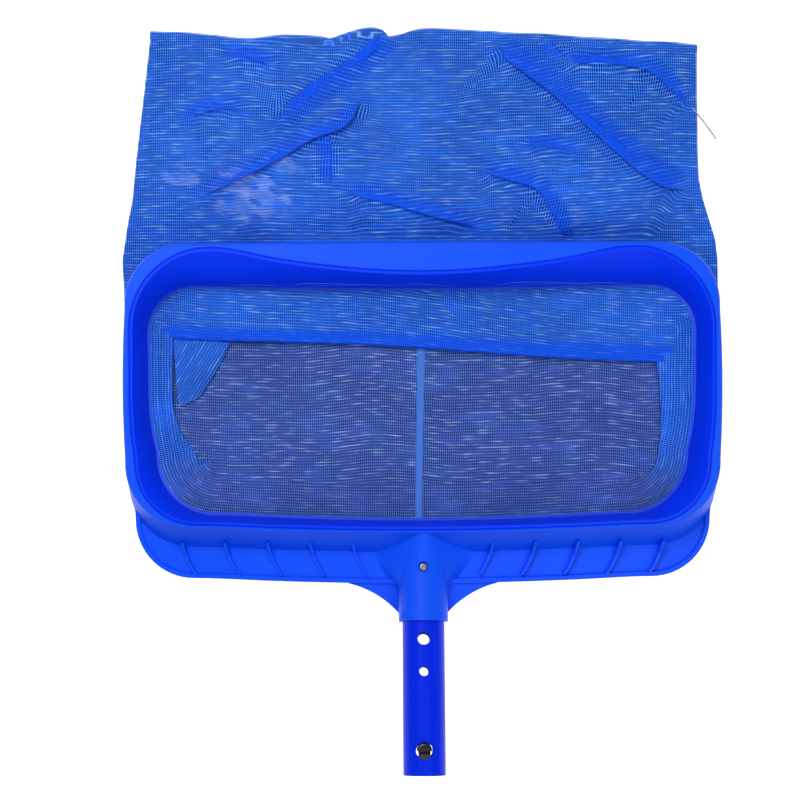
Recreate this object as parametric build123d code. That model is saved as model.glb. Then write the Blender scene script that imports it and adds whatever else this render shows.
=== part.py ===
from build123d import *
import os
from collections import namedtuple
from math import cos, radians, sin, tan

# A pool leaf rake: a moulded mouth frame with a deep mesh bag and a short handle tube.
# Bench frame, in millimetres: X across the mouth, +Y towards the end of the bag,
# -Y along the handle, +Z up out of the mouth. The mouth's throat is centred on X0 Y0,
# and the floor that the net lies on is Z0. The written parts are moved so that
# the origin is under the middle of the object, on the floor.

os.makedirs("parts", exist_ok=True)

# Mouth, measured at the throat where the mesh is held. The bows are how far each
# edge's middle stands below its ends (top, bottom). The sides stand furthest apart
# near the top and lean in towards the bottom.
mouth_width = 384.4
mouth_height = 163.0
mouth_side_spread = 0.5
mouth_side_lean = 5.6
mouth_top_bow = 2.3
mouth_bottom_bow = 4.3
mouth_top_radius = 33.0
mouth_bottom_radius = 42.0
edge_shares = [(0.5, 0.3), (0.75, 0.65)]

# Plan outlines. side, top and bottom are the edges' middles, and the other values
# are the same edges where the corner arcs begin.
Outline = namedtuple(
    "Outline", "side side_top side_bottom top top_end bottom bottom_end r_top r_bottom")

# How much further out each outline stands than the one before it
seam_step = Outline(8.7, 8.2, 10.6, 9.9, 24.2, -4.6, -4.9, 22.0, 0.0)
rim_step = Outline(4.9, 3.4, 7.1, 20.4, 3.2, -3.1, -2.9, -13.0, 3.0)
skirt_step = Outline(1.4, 1.4, 0.7, -3.7, -3.6, -14.0, -13.9, -2.0, -1.0)
flange_step = Outline(-2.7, -1.2, -4.8, -60.0, -60.0, -21.7, -21.6, -32.0, -3.3)

# Heights above the floor
frame_back_z = 8.0
seat_thick = 2.5
plate_z = 12.0
plate_thick = 3.0
bead_rise = 2.6
bead_width = 3.0
shoulder_z = 33.5
shoulder_round = 4.5
rim_z = 38.0
frame_wall = 2.6

# Retaining ring
ring_wall = 2.5
ring_gap = 0.2
ring_land = 2.4
ring_roll = 2.2
ring_roll_steps = [1.0, 0.85, 0.6, 0.3, 0.0]
edge_break = 0.7
pocket_width = 7.5
catch_width = 12.0
catch_height = 3.0
catch_bite = 1.0
catch_gap = 0.2
catch_z = 28.0
catch_from_side = 60.0
catch_from_middle = 60.0
catch_side_y = [-12.0, 35.0]

# Hollows under the lip and the skirt
core_roof_z = 34.5
core_rib = 2.2
core_pitch = 42.0
lip_core_from_side = 40.0
skirt_core_from_side = 44.0

# Ribs on the flange
rib_count = 5
rib_first = 48.9
rib_pitch = 29.5
rib_lean = 9.5
rib_bow = 1.6
rib_thick = 2.0
rib_top_rise = 11.0

# Handle socket and tube, along an axis that rises from the frame to the free end
handle_tilt = 12.0
socket_reach = 25.0
socket_end_z = 28.0
socket_wall = 2.45
socket_depth = 46.0
socket_floor = 4.0
socket_fit = 0.05
web_reach = 52.0
web_thick = 3.5
tube_radius = 14.5
tube_wall = 1.4
tube_exposed = 103.0
tube_edge = 0.8
hole_s = [12.1, 34.0]
hole_radius = [4.25, 3.25]
button_hole_s = 86.6
button_hole_radius = 5.75

# Screw that holds the tube in the socket
screw_s = -36.0
screw_recess_radius = 3.8
screw_recess_depth = 2.0
screw_head_radius = 2.7
screw_head_height = 1.7
screw_shank_radius = 1.4
screw_length = 8.0
screw_hole_gap = 0.05
cross_width = 0.7
cross_span = 2.9
cross_depth = 1.0

# Spring clip inside the tube, in the tube's own directions
clip_reach = 43.0
clip_thick = 1.8
clip_width = 8.0
clip_bend_radius = 3.2
clip_split = 0.3
clip_tip_gap = 1.6
button_radius = 5.0
button_flat = 0.6
button_shift = 0.4
button_proud = 3.4
button_round = 1.4

# Mesh bag, drawn as plain slabs
net_thick = 1.0
net_to_frame = 0.6
net_inset = 0.5
collar_run = 18.0
collar_wall = 1.2
flap_drop = 47.9
flap_round = 3.0
bag_overlap = 7.9
bag_start_spread = 13.8
bag_wide_run = 26.0
bag_wide_spread = 17.8
bag_length = 186.0
bag_end_spread = 1.8
bag_puff = 13.8
bag_rise_run = 15.0
bag_fall_run = 18.0
seam_width = 7.0
seam_thick = 1.2
tape_width = 5.0
tape_thick = 0.6
tape_stop = 1.0
tape_gap = 0.05

# Hem that the ring clamps, and the cord sewn into it
hem_thick = 0.6
hem_cord_radius = 1.9
hem_sleeve_wall = 0.6
hem_sleeve_sink = 0.2
hem_offset = 6.5

# Loose end of nylon line, caught in the bag and sticking out of its side
line_radius = 0.6
line_tunnel_gap = 0.7
line_points = [
    (155.5, 239.6, 7.0),
    (172.0, 228.1, 5.4),
    (187.0, 214.1, 4.2),
    (199.5, 200.4, 3.2),
    (209.3, 187.1, 1.2),
]


def step_out(outline, steps):
    return Outline(*[edge + step for edge, step in zip(outline, steps)])


throat = Outline(
    mouth_width / 2,
    mouth_width / 2 + mouth_side_spread,
    mouth_width / 2 - mouth_side_lean,
    mouth_height / 2,
    mouth_height / 2 + mouth_top_bow,
    -mouth_height / 2,
    -mouth_height / 2 + mouth_bottom_bow,
    mouth_top_radius,
    mouth_bottom_radius,
)
seam = step_out(throat, seam_step)
rim = step_out(seam, rim_step)
skirt = step_out(rim, skirt_step)
flange = step_out(skirt, flange_step)

seat_z = frame_back_z + seat_thick
hem_top_z = seat_z + hem_thick
foot_z = hem_top_z + ring_gap / 2
plate_top_z = plate_z + plate_thick
socket_radius = tube_radius + socket_fit + socket_wall
lip_under_z = frame_back_z - net_to_frame - net_thick
flap_tip_y = throat.top - flap_drop
bag_start_y = throat.top - bag_overlap
bag_start_half = throat.side + bag_start_spread
bag_wide_y = bag_start_y + bag_wide_run
bag_wide_half = throat.side + bag_wide_spread
bag_end_y = bag_start_y + bag_length
bag_end_half = throat.side + bag_end_spread
far = 600.0

socket_end_y = flange.bottom - socket_reach
socket_end = Vector(0, socket_end_y, socket_end_z)
along = Vector(0, -cos(radians(handle_tilt)), sin(radians(handle_tilt)))
upward = Vector(0, sin(radians(handle_tilt)), cos(radians(handle_tilt)))


def grow(outline, step):
    return Outline(
        outline.side + step,
        outline.side_top + step,
        outline.side_bottom + step,
        outline.top + step,
        outline.top_end + step,
        outline.bottom - step,
        outline.bottom_end - step,
        outline.r_top + step,
        outline.r_bottom + step,
    )


def mix(first, second, share):
    return Outline(*[a + (b - a) * share for a, b in zip(first, second)])


def edge_points(centre, low_end, middle, high_end, half):
    """Points of one gently bowed edge, from half below its centre to half above it."""
    points = [(centre, middle)]
    for along_share, rise_share in edge_shares + [(1.0, 1.0)]:
        points.append((centre + half * along_share, middle + (high_end - middle) * rise_share))
        points.insert(0, (centre - half * along_share, middle + (low_end - middle) * rise_share))
    return points


def outline_wire(outline):
    """Closed outline: four bowed edges, joined by quarter arcs."""
    top_half = outline.side_top - outline.r_top
    bottom_half = outline.side_bottom - outline.r_bottom
    side_high = outline.top_end - outline.r_top
    side_low = outline.bottom_end + outline.r_bottom
    side_middle = (side_high + side_low) / 2
    side_half = (side_high - side_low) / 2
    top = edge_points(0, outline.top_end, outline.top, outline.top_end, top_half)
    bottom = edge_points(0, outline.bottom_end, outline.bottom, outline.bottom_end, bottom_half)
    side = edge_points(side_middle, outline.side_bottom, outline.side, outline.side_top, side_half)
    right = [(x, y) for y, x in side]
    left = [(-x, y) for x, y in right]
    edges = [
        Spline(*top, tangents=[(1, 0), (1, 0)]),
        CenterArc((top_half, side_high), outline.r_top, 0, 90),
        Spline(*right, tangents=[(0, 1), (0, 1)]),
        CenterArc((bottom_half, side_low), outline.r_bottom, 270, 90),
        Spline(*bottom, tangents=[(1, 0), (1, 0)]),
        CenterArc((-bottom_half, side_low), outline.r_bottom, 180, 90),
        Spline(*left, tangents=[(0, 1), (0, 1)]),
        CenterArc((-top_half, side_high), outline.r_top, 90, 90),
    ]
    return Wire(edges)


def outline_face(outline, z=0.0):
    return Pos(0, 0, z) * Face(outline_wire(outline))


def prism(outline, low, high):
    return extrude(outline_face(outline, low), high - low, dir=(0, 0, 1))


def block(x_low, x_high, y_low, y_high, z_low, z_high):
    size = (x_high - x_low, y_high - y_low, z_high - z_low)
    middle = ((x_high + x_low) / 2, (y_high + y_low) / 2, (z_high + z_low) / 2)
    return Pos(*middle) * Box(*size)


def face_between(*curves):
    return Face(Wire([edge for curve in curves for edge in curve.edges()]))


def side_profile(points, half_width):
    """A solid with the given Y-Z outline, half_width to each side of X0."""
    face = Face(Polyline(*[(0, y, z) for y, z in points], close=True).wire())
    return extrude(face, half_width, dir=(1, 0, 0), both=True)


def on_axis(s, height=0.0):
    """Plane across the handle axis at s, raised by height, with its normal along the axis."""
    return Plane(socket_end + along * s + upward * height, x_dir=(1, 0, 0), z_dir=along)


def across_axis(s, height=0.0):
    """Plane at s on the handle axis, raised by height, with its normal pointing up from it."""
    return Plane(socket_end + along * s + upward * height, x_dir=(1, 0, 0), z_dir=upward)


def rod(plane, radius, length):
    return plane * Cylinder(radius, length, align=(Align.CENTER, Align.CENTER, Align.MIN))


# Frame moulding

def frame_body():
    sections = [
        outline_face(grow(skirt, -1.5), frame_back_z),
        outline_face(skirt, plate_top_z),
        outline_face(rim, shoulder_z),
        outline_face(grow(rim, -shoulder_round * 0.2), (shoulder_z + 3 * rim_z) / 4),
        outline_face(grow(rim, -shoulder_round * 0.5), rim_z),
    ]
    return loft(sections[:3], ruled=True) + loft(sections[2:])


def ring_cavity(extra=0.0):
    pocket = grow(throat, ring_wall + pocket_width + extra)
    lower = outline_face(pocket, seat_z)
    upper = outline_face(grow(seam, extra), rim_z - edge_break)
    return loft([lower, upper], ruled=True) + prism(grow(seam, extra), rim_z - edge_break, rim_z)


def rim_groove():
    """Small chamfer round the top of the cavity, so that the parting line reads as a groove."""
    lower = outline_face(seam, rim_z - edge_break)
    upper = outline_face(grow(seam, edge_break), rim_z)
    return loft([lower, upper], ruled=True)


def core_hollow():
    """Moulded hollows under the lip and the skirt, with stiffening walls left between."""
    inside = loft([
        outline_face(grow(skirt, -1.5 - frame_wall), frame_back_z - 1),
        outline_face(grow(skirt, -frame_wall), plate_z),
        outline_face(grow(rim, -frame_wall), shoulder_z - frame_wall),
    ], ruled=True)
    wall = ring_cavity(frame_wall)
    seat = prism(grow(throat, ring_wall + pocket_width + frame_wall), frame_back_z - 1, seat_z)
    lip_half = throat.side - lip_core_from_side
    skirt_half = throat.side - skirt_core_from_side
    lip = block(-lip_half, lip_half, throat.top, far, 0, core_roof_z)
    tail = block(-skirt_half, skirt_half, -far, throat.bottom, 0, plate_top_z + rib_top_rise)
    hollow = (inside - wall - seat) & (lip + tail)
    walls = round(lip_half / core_pitch)
    for index in range(-walls, walls + 1):
        x = index * core_pitch
        hollow -= block(x - core_rib / 2, x + core_rib / 2, -far, far, 0, rim_z)
    keep_boss = block(-socket_radius, socket_radius, -far, throat.bottom, 0, rim_z)
    return hollow - keep_boss


def flange_plate():
    plate = prism(flange, plate_z, plate_top_z)
    bead = prism(flange, plate_top_z, plate_top_z + bead_rise)
    bead -= prism(grow(flange, -bead_width), plate_top_z, plate_top_z + bead_rise)
    return plate + bead


def flange_rib(x_top):
    y_top = skirt.bottom + 8
    y_low = flange.bottom_end + bead_width / 2
    x_low = x_top - rib_lean
    middle = ((x_top + x_low) / 2 + rib_bow, (y_top + y_low) / 2)
    inner = ThreePointArc((x_top, y_top), middle, (x_low, y_low))
    outer = Pos(rib_thick, 0, 0) * inner
    face = face_between(inner, outer, Line(inner @ 0, outer @ 0), Line(inner @ 1, outer @ 1))
    face = Pos(-rib_thick / 2, 0, plate_z) * face
    return extrude(face, plate_thick + rib_top_rise, dir=(0, 0, 1))


def flange_ribs():
    top_z = plate_top_z + rib_top_rise
    edge_z = plate_top_z + bead_rise
    envelope = side_profile([
        (skirt.bottom + 9, plate_z),
        (skirt.bottom + 9, top_z),
        (skirt.bottom - 2, plate_top_z + rib_top_rise * 0.45),
        (flange.bottom - 1, edge_z),
        (flange.bottom - 1, plate_z),
    ], far / 2)
    ribs = []
    for index in range(rib_count):
        rib = flange_rib(rib_first + index * rib_pitch) & envelope
        ribs += [rib, mirror(rib, Plane.YZ)]
    return ribs


def bell_face(y, foot, shoulder, crown_z):
    """Bell-shaped section across the socket's fairing."""
    base_z = plate_z + 1
    shoulder_height = base_z + (crown_z - base_z) * 0.55
    points = [
        (foot, y, base_z),
        (shoulder, y, shoulder_height),
        (0, y, crown_z),
        (-shoulder, y, shoulder_height),
        (-foot, y, base_z),
    ]
    curve = Spline(*points, tangents=[(-1, 0, 0), (-1, 0, 0)])
    return face_between(curve, Line(points[-1], points[0]))


def crown_z(y):
    """Height of the socket's top line at y."""
    rise = (socket_end_y - y) * tan(radians(handle_tilt))
    return socket_end_z + rise + socket_radius / cos(radians(handle_tilt))


def socket_fairing():
    apex_y = rim.bottom + 1
    wide_y = skirt.bottom + 2
    neck_y = flange.bottom + 8
    end_y = socket_end_y + 5
    return loft([
        bell_face(apex_y, socket_radius * 1.1, socket_radius * 0.55, rim_z - 0.8),
        bell_face(wide_y, web_reach, socket_radius, rim_z - 1.6),
        bell_face(neck_y, web_reach * 0.72, socket_radius, crown_z(neck_y) + 0.3),
        bell_face(end_y, socket_radius + 1.5, socket_radius * 0.93, crown_z(end_y) - 0.4),
    ])


def socket_web():
    """Flared web in the plane of the flange, narrowing to the socket's end."""
    reach = Vector(web_reach, flange.bottom)
    neck = Vector(socket_radius - 1, socket_end_y + 3)
    waist = Vector(reach.X + (neck.X - reach.X) * 0.56, reach.Y + (neck.Y - reach.Y) * 0.38)
    right = ThreePointArc(reach, waist, neck)
    left = ThreePointArc((-neck.X, neck.Y), (-waist.X, waist.Y), (-reach.X, reach.Y))
    back = Polyline((-reach.X, reach.Y), (-web_reach, skirt.bottom), (web_reach, skirt.bottom), reach)
    face = Pos(0, 0, plate_z) * face_between(right, Line(neck, (-neck.X, neck.Y)), left, back)
    return extrude(face, web_thick, dir=(0, 0, 1))


def outer_frame():
    shape = frame_body() + flange_plate() + socket_web() + socket_fairing()
    for rib in flange_ribs():
        shape += rib
    socket_length = socket_depth + socket_floor
    shape += rod(on_axis(-socket_length), socket_radius, socket_length)
    shape -= block(-far, far, -far, far, -far, 0)
    shape -= core_hollow()
    shape -= ring_cavity() + rim_groove()
    shape -= prism(throat, frame_back_z - 1, seat_z)
    shape -= rod(on_axis(-socket_depth), tube_radius + socket_fit, socket_depth + 1)
    shape -= screw_recess()
    for catch in ring_catches(catch_gap):
        shape -= catch
    return shape


def screw_seat_height():
    return socket_radius - screw_recess_depth


def screw_recess():
    seat = rod(across_axis(screw_s, screw_seat_height()), screw_recess_radius, far / 10)
    hole = rod(across_axis(screw_s), screw_shank_radius + screw_hole_gap, socket_radius)
    return seat + hole


# Retaining ring

def ring_catches(extra=0.0):
    """Wedge catches on the ring; with extra they are the pockets that take them."""
    depth = ring_wall + pocket_width + extra
    tall = catch_height / 2 + extra
    half = catch_width / 2 + extra
    share = (catch_z - seat_z) / (rim_z - seat_z)
    wall = mix(grow(throat, ring_wall + pocket_width), seam, share)
    catches = []
    outer_x = throat.side - catch_from_side
    for x in (-outer_x, -catch_from_middle, catch_from_middle, outer_x):
        y = wall.bottom + (wall.bottom_end - wall.bottom) * (x / wall.side) ** 2
        catches.append(block(x - half, x + half, y - catch_bite - extra, y + depth,
                             catch_z - tall, catch_z + tall))
    for y in catch_side_y:
        right = block(wall.side - depth, wall.side + catch_bite + extra, y - half, y + half,
                      catch_z - tall, catch_z + tall)
        catches += [right, mirror(right, Plane.YZ)]
    return catches


def ring_surface(upper, lower, top_z, low_z):
    """Funnel that leaves its upper outline nearly level and rolls down to its lower one."""
    sections = []
    for step in ring_roll_steps:
        z = low_z + (top_z - low_z) * step
        sections.append(outline_face(mix(upper, lower, 1 - step ** ring_roll), z))
    return loft(sections[::-1])


def retaining_ring():
    edge_z = rim_z - edge_break
    outer = ring_surface(grow(seam, -ring_gap), grow(throat, ring_wall), edge_z, foot_z)
    cap = loft([
        outline_face(grow(seam, -ring_gap), edge_z),
        outline_face(grow(seam, -ring_gap - edge_break), rim_z),
    ], ruled=True)
    shape = outer + cap
    for catch in ring_catches():
        shape += catch
    land = grow(seam, -ring_gap - ring_land)
    return shape - ring_surface(land, throat, rim_z, foot_z)


# Handle tube, screw and spring clip

def handle_tube():
    length = socket_depth + tube_exposed
    start = on_axis(-socket_depth)
    tube = rod(start, tube_radius, length) - rod(start, tube_radius - tube_wall, length)
    circles = tube.edges().filter_by(GeomType.CIRCLE)
    rims = circles.sort_by(lambda edge: (edge.center() - socket_end).dot(along))
    tube = chamfer(rims[-2:], tube_edge / 2)
    reach = 2 * tube_radius + 2
    for s, radius in zip(hole_s + [button_hole_s], hole_radius + [button_hole_radius]):
        tube -= rod(across_axis(s, -tube_radius - 1), radius, reach)
    return tube - rod(across_axis(screw_s), screw_shank_radius + screw_hole_gap, tube_radius + 1)


def handle_screw():
    seat = screw_seat_height()
    head = rod(across_axis(screw_s, seat), screw_head_radius, screw_head_height)
    head = fillet(head.edges().filter_by(GeomType.CIRCLE).sort_by(lambda edge: edge.center().Z)[-1:], 0.8)
    for turn in (0, 90):
        slot = across_axis(screw_s, seat + screw_head_height) * Rot(0, 0, turn)
        head -= slot * Box(cross_span, cross_width, 2 * cross_depth)
    shank = rod(across_axis(screw_s, seat - screw_length), screw_shank_radius, screw_length)
    return head + shank


def clip_arm_profile():
    """Side view of the front arm in (s, height): from the bend out to the button."""
    start_s = button_hole_s - clip_reach
    tip_s = button_hole_s + button_hole_radius
    tip_height = tube_radius - tube_wall - clip_tip_gap - clip_thick
    start = Vector(start_s, clip_bend_radius)
    tip = Vector(tip_s, tip_height)
    return start, tip


def clip_point(s, height):
    return socket_end + along * s + upward * height


def clip_front_arm():
    start, tip = clip_arm_profile()
    direction = (tip - start).normalized()
    normal = Vector(-direction.Y, direction.X)
    begin = start + direction * clip_split
    corners = [begin, tip, tip + normal * clip_thick, begin + normal * clip_thick]
    path = Polyline(*[clip_point(corner.X, corner.Y) for corner in corners], close=True)
    arm = extrude(Face(path.wire()), clip_width / 2, dir=(1, 0, 0), both=True)
    return arm + clip_button(start, tip)


def clip_button(start, tip):
    centre_s = button_hole_s - button_shift
    share = (centre_s - start.X) / (tip.X - start.X)
    foot = start.Y + (tip.Y - start.Y) * share + clip_thick / 2
    height = tube_radius + button_proud - foot
    button = rod(across_axis(centre_s, foot), button_radius, height)
    cut = across_axis(centre_s, foot) * Pos(0, -button_flat - far / 20, height / 2)
    button -= cut * Box(far / 10, far / 10, height + 1)
    top = button.faces().sort_by(lambda face: (face.center() - socket_end).dot(upward))[-1]
    return fillet(top.edges(), button_round)


def below_axis(shape):
    """The same piece on the other side of the handle axis."""
    return mirror(shape, across_axis(0))


def clip_bend():
    start, tip = clip_arm_profile()
    ring_plane = Plane(clip_point(start.X, 0), x_dir=along, z_dir=(1, 0, 0))
    outer = Cylinder(clip_bend_radius + clip_thick, clip_width)
    inner = Cylinder(clip_bend_radius, clip_width + 1)
    half = Pos(far / 20, 0, 0) * Box(far / 10, far / 10, clip_width + 2)
    return ring_plane * (outer - inner - half)


# Hem

def hem_path():
    z = hem_top_z + hem_sleeve_wall + hem_cord_radius - hem_sleeve_sink
    return Pos(0, 0, z) * outline_wire(grow(throat, hem_offset))


def ring_tube(radius):
    path = hem_path()
    start = path @ 0
    section = Plane(start, z_dir=path % 0) * Circle(radius)
    return sweep(section, path=path)


def hem_cord():
    return ring_tube(hem_cord_radius)


def hem_band():
    strip = prism(grow(throat, hem_offset), seat_z, hem_top_z)
    strip -= prism(grow(throat, -net_inset - collar_wall), seat_z, hem_top_z)
    sleeve = ring_tube(hem_cord_radius + hem_sleeve_wall) - ring_tube(hem_cord_radius)
    return strip + sleeve


# Mesh bag

def bag_plan(inset, back_y):
    """Plan of the bag behind the lip. Its sides are inset, and it starts at back_y."""
    points = [
        (bag_start_half - inset, back_y),
        (bag_start_half - inset, bag_start_y),
        (bag_wide_half - inset, bag_wide_y),
        (bag_end_half - inset, bag_end_y - inset),
    ]
    if back_y >= bag_start_y:
        points = points[1:]
    ring = points + [(-x, y) for x, y in reversed(points)]
    return Face(Polyline(*ring, close=True).wire())


def bag_prism(inset, back_y, low, high):
    return extrude(Pos(0, 0, low) * bag_plan(inset, back_y), high - low, dir=(0, 0, 1))


def net_front_panel():
    rim_low = net_thick + seam_thick
    rise_y = skirt.top + 2
    puff_y = rise_y + bag_rise_run
    fall_y = bag_end_y - bag_fall_run
    over = side_profile([
        (bag_start_y, rim_low),
        (bag_start_y, lip_under_z + net_thick),
        (rise_y, lip_under_z + net_thick),
        (puff_y, bag_puff),
        (fall_y, bag_puff),
        (bag_end_y, rim_low + net_thick),
        (bag_end_y, rim_low),
    ], far / 2)
    under = side_profile([
        (bag_start_y - 1, -1),
        (bag_start_y - 1, lip_under_z),
        (rise_y + net_thick / 2, lip_under_z),
        (puff_y + net_thick / 2, bag_puff - net_thick),
        (fall_y - net_thick / 2, bag_puff - net_thick),
        (bag_end_y - net_thick, rim_low),
        (bag_end_y - net_thick, -1),
    ], far / 2)
    shell = bag_prism(0, bag_start_y, rim_low, bag_puff) & over
    shell -= bag_prism(net_thick, bag_start_y - 2, -1, bag_puff) & under
    flap = prism(grow(throat, -net_inset), lip_under_z, seat_z) & side_profile([
        (flap_tip_y, lip_under_z),
        (flap_tip_y, lip_under_z + 1.5),
        (flap_tip_y + flap_round, lip_under_z + 2.4),
        (throat.top_end, seat_z),
        (throat.top_end, lip_under_z),
    ], far / 2)
    return shell + flap - line_tube(line_radius + line_tunnel_gap)


def net_back_panel():
    floor = bag_prism(0, bag_start_y, 0, net_thick)
    middle = prism(grow(throat, -collar_run), 0, net_thick)
    under_flap = prism(grow(throat, -net_inset), 0, net_thick)
    slab = floor + middle + (under_flap & block(-far, far, flap_tip_y - 1, bag_start_y, 0, far))
    outer = loft([
        outline_face(grow(throat, -collar_run), 0),
        outline_face(grow(throat, -net_inset), seat_z),
    ], ruled=True)
    inner = loft([
        outline_face(grow(throat, -collar_run - collar_wall), 0),
        outline_face(grow(throat, -net_inset - collar_wall), seat_z),
    ], ruled=True)
    collar = outer - inner - block(-far, far, flap_tip_y - 1, far, -1, far)
    return slab + collar


def centre_seam_tape():
    slope_foot = throat.bottom + collar_run + collar_wall + tape_gap
    slope_top = throat.bottom + net_inset + collar_wall + tape_gap
    foot_share = net_thick / seat_z
    low_y = slope_foot + (slope_top - slope_foot) * foot_share
    stop = bag_end_y - seam_width - tape_stop
    return side_profile([
        (stop, net_thick),
        (stop, net_thick + tape_thick),
        (low_y + tape_thick, net_thick + tape_thick),
        (slope_top + tape_thick, seat_z),
        (slope_top, seat_z),
        (low_y, net_thick),
    ], tape_width / 2)


def bag_seams():
    """Sewn edges between the two panels: left side, right side and end."""
    ring = bag_prism(0, bag_start_y, net_thick, net_thick + seam_thick)
    ring -= bag_prism(seam_width, bag_start_y - 5, net_thick, net_thick + seam_thick)
    split_y = bag_end_y - seam_width
    end = ring & block(-far, far, split_y, far, 0, far)
    sides = ring - block(-far, far, split_y, far, 0, far)
    left = sides & block(-far, 0, -far, far, 0, far)
    right = sides & block(0, far, -far, far, 0, far)
    return left, right - line_tube(line_radius + line_tunnel_gap), end


def line_radii():
    points = [Vector(*point) for point in line_points]
    radii = []
    for before, corner, after in zip(points, points[1:], points[2:]):
        turn = (corner - before).get_angle(after - corner)
        run = min((corner - before).length, (after - corner).length)
        radii.append(0.45 * run / tan(radians(turn) / 2))
    return radii


def line_tube(radius):
    path = FilletPolyline(*line_points, radius=line_radii())
    section = Plane(path @ 0, z_dir=path % 0) * Circle(radius)
    return sweep(section, path=path)


def build_parts():
    left_seam, right_seam, end_seam = bag_seams()
    front_arm = clip_front_arm()
    return {
        "outer_frame": outer_frame(),
        "retaining_ring": retaining_ring(),
        "net_front_panel": net_front_panel(),
        "net_back_panel": net_back_panel(),
        "centre_seam_tape": centre_seam_tape(),
        "left_side_seam": left_seam,
        "right_side_seam": right_seam,
        "end_seam": end_seam,
        "hem_band": hem_band(),
        "hem_cord": hem_cord(),
        "handle_tube": handle_tube(),
        "handle_screw": handle_screw(),
        "clip_bend": clip_bend(),
        "clip_front_arm": front_arm,
        "clip_back_arm": below_axis(front_arm),
        "loose_line": line_tube(line_radius),
    }


parts = build_parts()
boxes = [shape.bounding_box() for name, shape in parts.items() if name != "loose_line"]
middle_y = (min(box.min.Y for box in boxes) + max(box.max.Y for box in boxes)) / 2
to_row = Pos(0, -middle_y, 0)
for name, shape in parts.items():
    export_step(to_row * shape, f"parts/{name}.step")

hinge_start, hinge_tip = clip_arm_profile()
hinge_point = clip_point(hinge_start.X + clip_split, hinge_start.Y + clip_thick / 2)
hinge_point_back = clip_point(hinge_start.X + clip_split, -hinge_start.Y - clip_thick / 2)
print("row origin in the bench frame: Y", round(middle_y, 4))
print("handle axis direction", along, "upward", upward)
print("socket end", to_row * Pos(*socket_end))
for s in hole_s + [button_hole_s]:
    print("hole at", s, (to_row * Pos(*clip_point(s, 0))).position)
print("front hinge", (to_row * Pos(*hinge_point)).position)
print("back hinge", (to_row * Pos(*hinge_point_back)).position)
print("line radii", [round(radius, 1) for radius in line_radii()])
line_shape = parts["loose_line"]
line_length = FilletPolyline(*line_points, radius=line_radii()).length
print("line length", round(line_length, 2), "volume", round(line_shape.volume, 2))
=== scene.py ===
import math

import bpy
import numpy as np
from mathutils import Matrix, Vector


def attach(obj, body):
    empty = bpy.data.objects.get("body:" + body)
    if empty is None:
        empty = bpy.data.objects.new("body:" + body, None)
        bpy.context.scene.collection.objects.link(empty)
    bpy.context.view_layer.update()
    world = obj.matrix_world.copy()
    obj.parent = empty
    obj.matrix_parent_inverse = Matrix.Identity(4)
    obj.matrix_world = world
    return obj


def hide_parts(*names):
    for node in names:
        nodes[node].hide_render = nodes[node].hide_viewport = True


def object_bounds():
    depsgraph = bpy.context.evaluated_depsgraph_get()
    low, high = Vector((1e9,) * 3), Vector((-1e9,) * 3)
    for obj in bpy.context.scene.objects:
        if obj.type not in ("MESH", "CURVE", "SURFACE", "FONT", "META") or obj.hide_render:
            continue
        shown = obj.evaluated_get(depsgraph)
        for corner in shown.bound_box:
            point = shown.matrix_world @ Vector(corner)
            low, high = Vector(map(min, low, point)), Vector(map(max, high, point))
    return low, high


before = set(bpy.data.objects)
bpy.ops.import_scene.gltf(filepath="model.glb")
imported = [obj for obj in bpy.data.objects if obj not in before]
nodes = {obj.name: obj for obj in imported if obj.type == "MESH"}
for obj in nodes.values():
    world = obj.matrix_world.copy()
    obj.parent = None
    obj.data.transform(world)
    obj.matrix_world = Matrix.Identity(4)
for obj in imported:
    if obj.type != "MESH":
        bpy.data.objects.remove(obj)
cadLow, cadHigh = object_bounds()
bpy.ops.object.select_all(action="DESELECT")
mm = 0.001  # lengths below are in millimetres, in the row frame, and turned to metres on building


# ---- small helpers


def linear(hexColour):
    channels = [int(hexColour[i:i + 2], 16) / 255 for i in (0, 2, 4)]
    return [c / 12.92 if c <= 0.04045 else ((c + 0.055) / 1.055) ** 2.4 for c in channels] + [1.0]


def addNode(tree, kind, inputs=None, **settings):
    node = tree.nodes.new("ShaderNode" + kind)
    for name, value in settings.items():
        setattr(node, name, value)
    for name, value in (inputs or {}).items():
        if isinstance(value, bpy.types.NodeSocket):
            tree.links.new(value, node.inputs[name])
        else:
            node.inputs[name].default_value = value
    return node


def newMaterial(name):
    material = bpy.data.materials.new(name)
    material.use_nodes = True
    tree = material.node_tree
    return material, tree, tree.nodes["Principled BSDF"]


def tinted(tree, shader, factor, low, high):
    # base colour between two tones
    tint = addNode(tree, "Mix", {"Factor": factor, "A": linear(low), "B": linear(high)}, data_type="RGBA")
    tree.links.new(tint.outputs[2], shader.inputs["Base Color"])


def roughened(tree, shader, factor, low, high):
    rough = addNode(tree, "MapRange", {"Value": factor, "To Min": low, "To Max": high})
    tree.links.new(rough.outputs[0], shader.inputs["Roughness"])


def raised(tree, shader, height, strength, depth):
    bump = addNode(tree, "Bump", {"Height": height, "Strength": strength, "Distance": depth * mm})
    tree.links.new(bump.outputs[0], shader.inputs["Normal"])


def smooth(t):
    t = np.clip(t, 0, 1)
    return t * t * (3 - 2 * t)


def between(value, low, high):
    return smooth((value - low) / (high - low))


def wear(obj, material):
    obj.data.materials.clear()
    obj.data.materials.append(material)


def paintNode(name, material):
    nodes[name].material_slots[0].material = material


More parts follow.
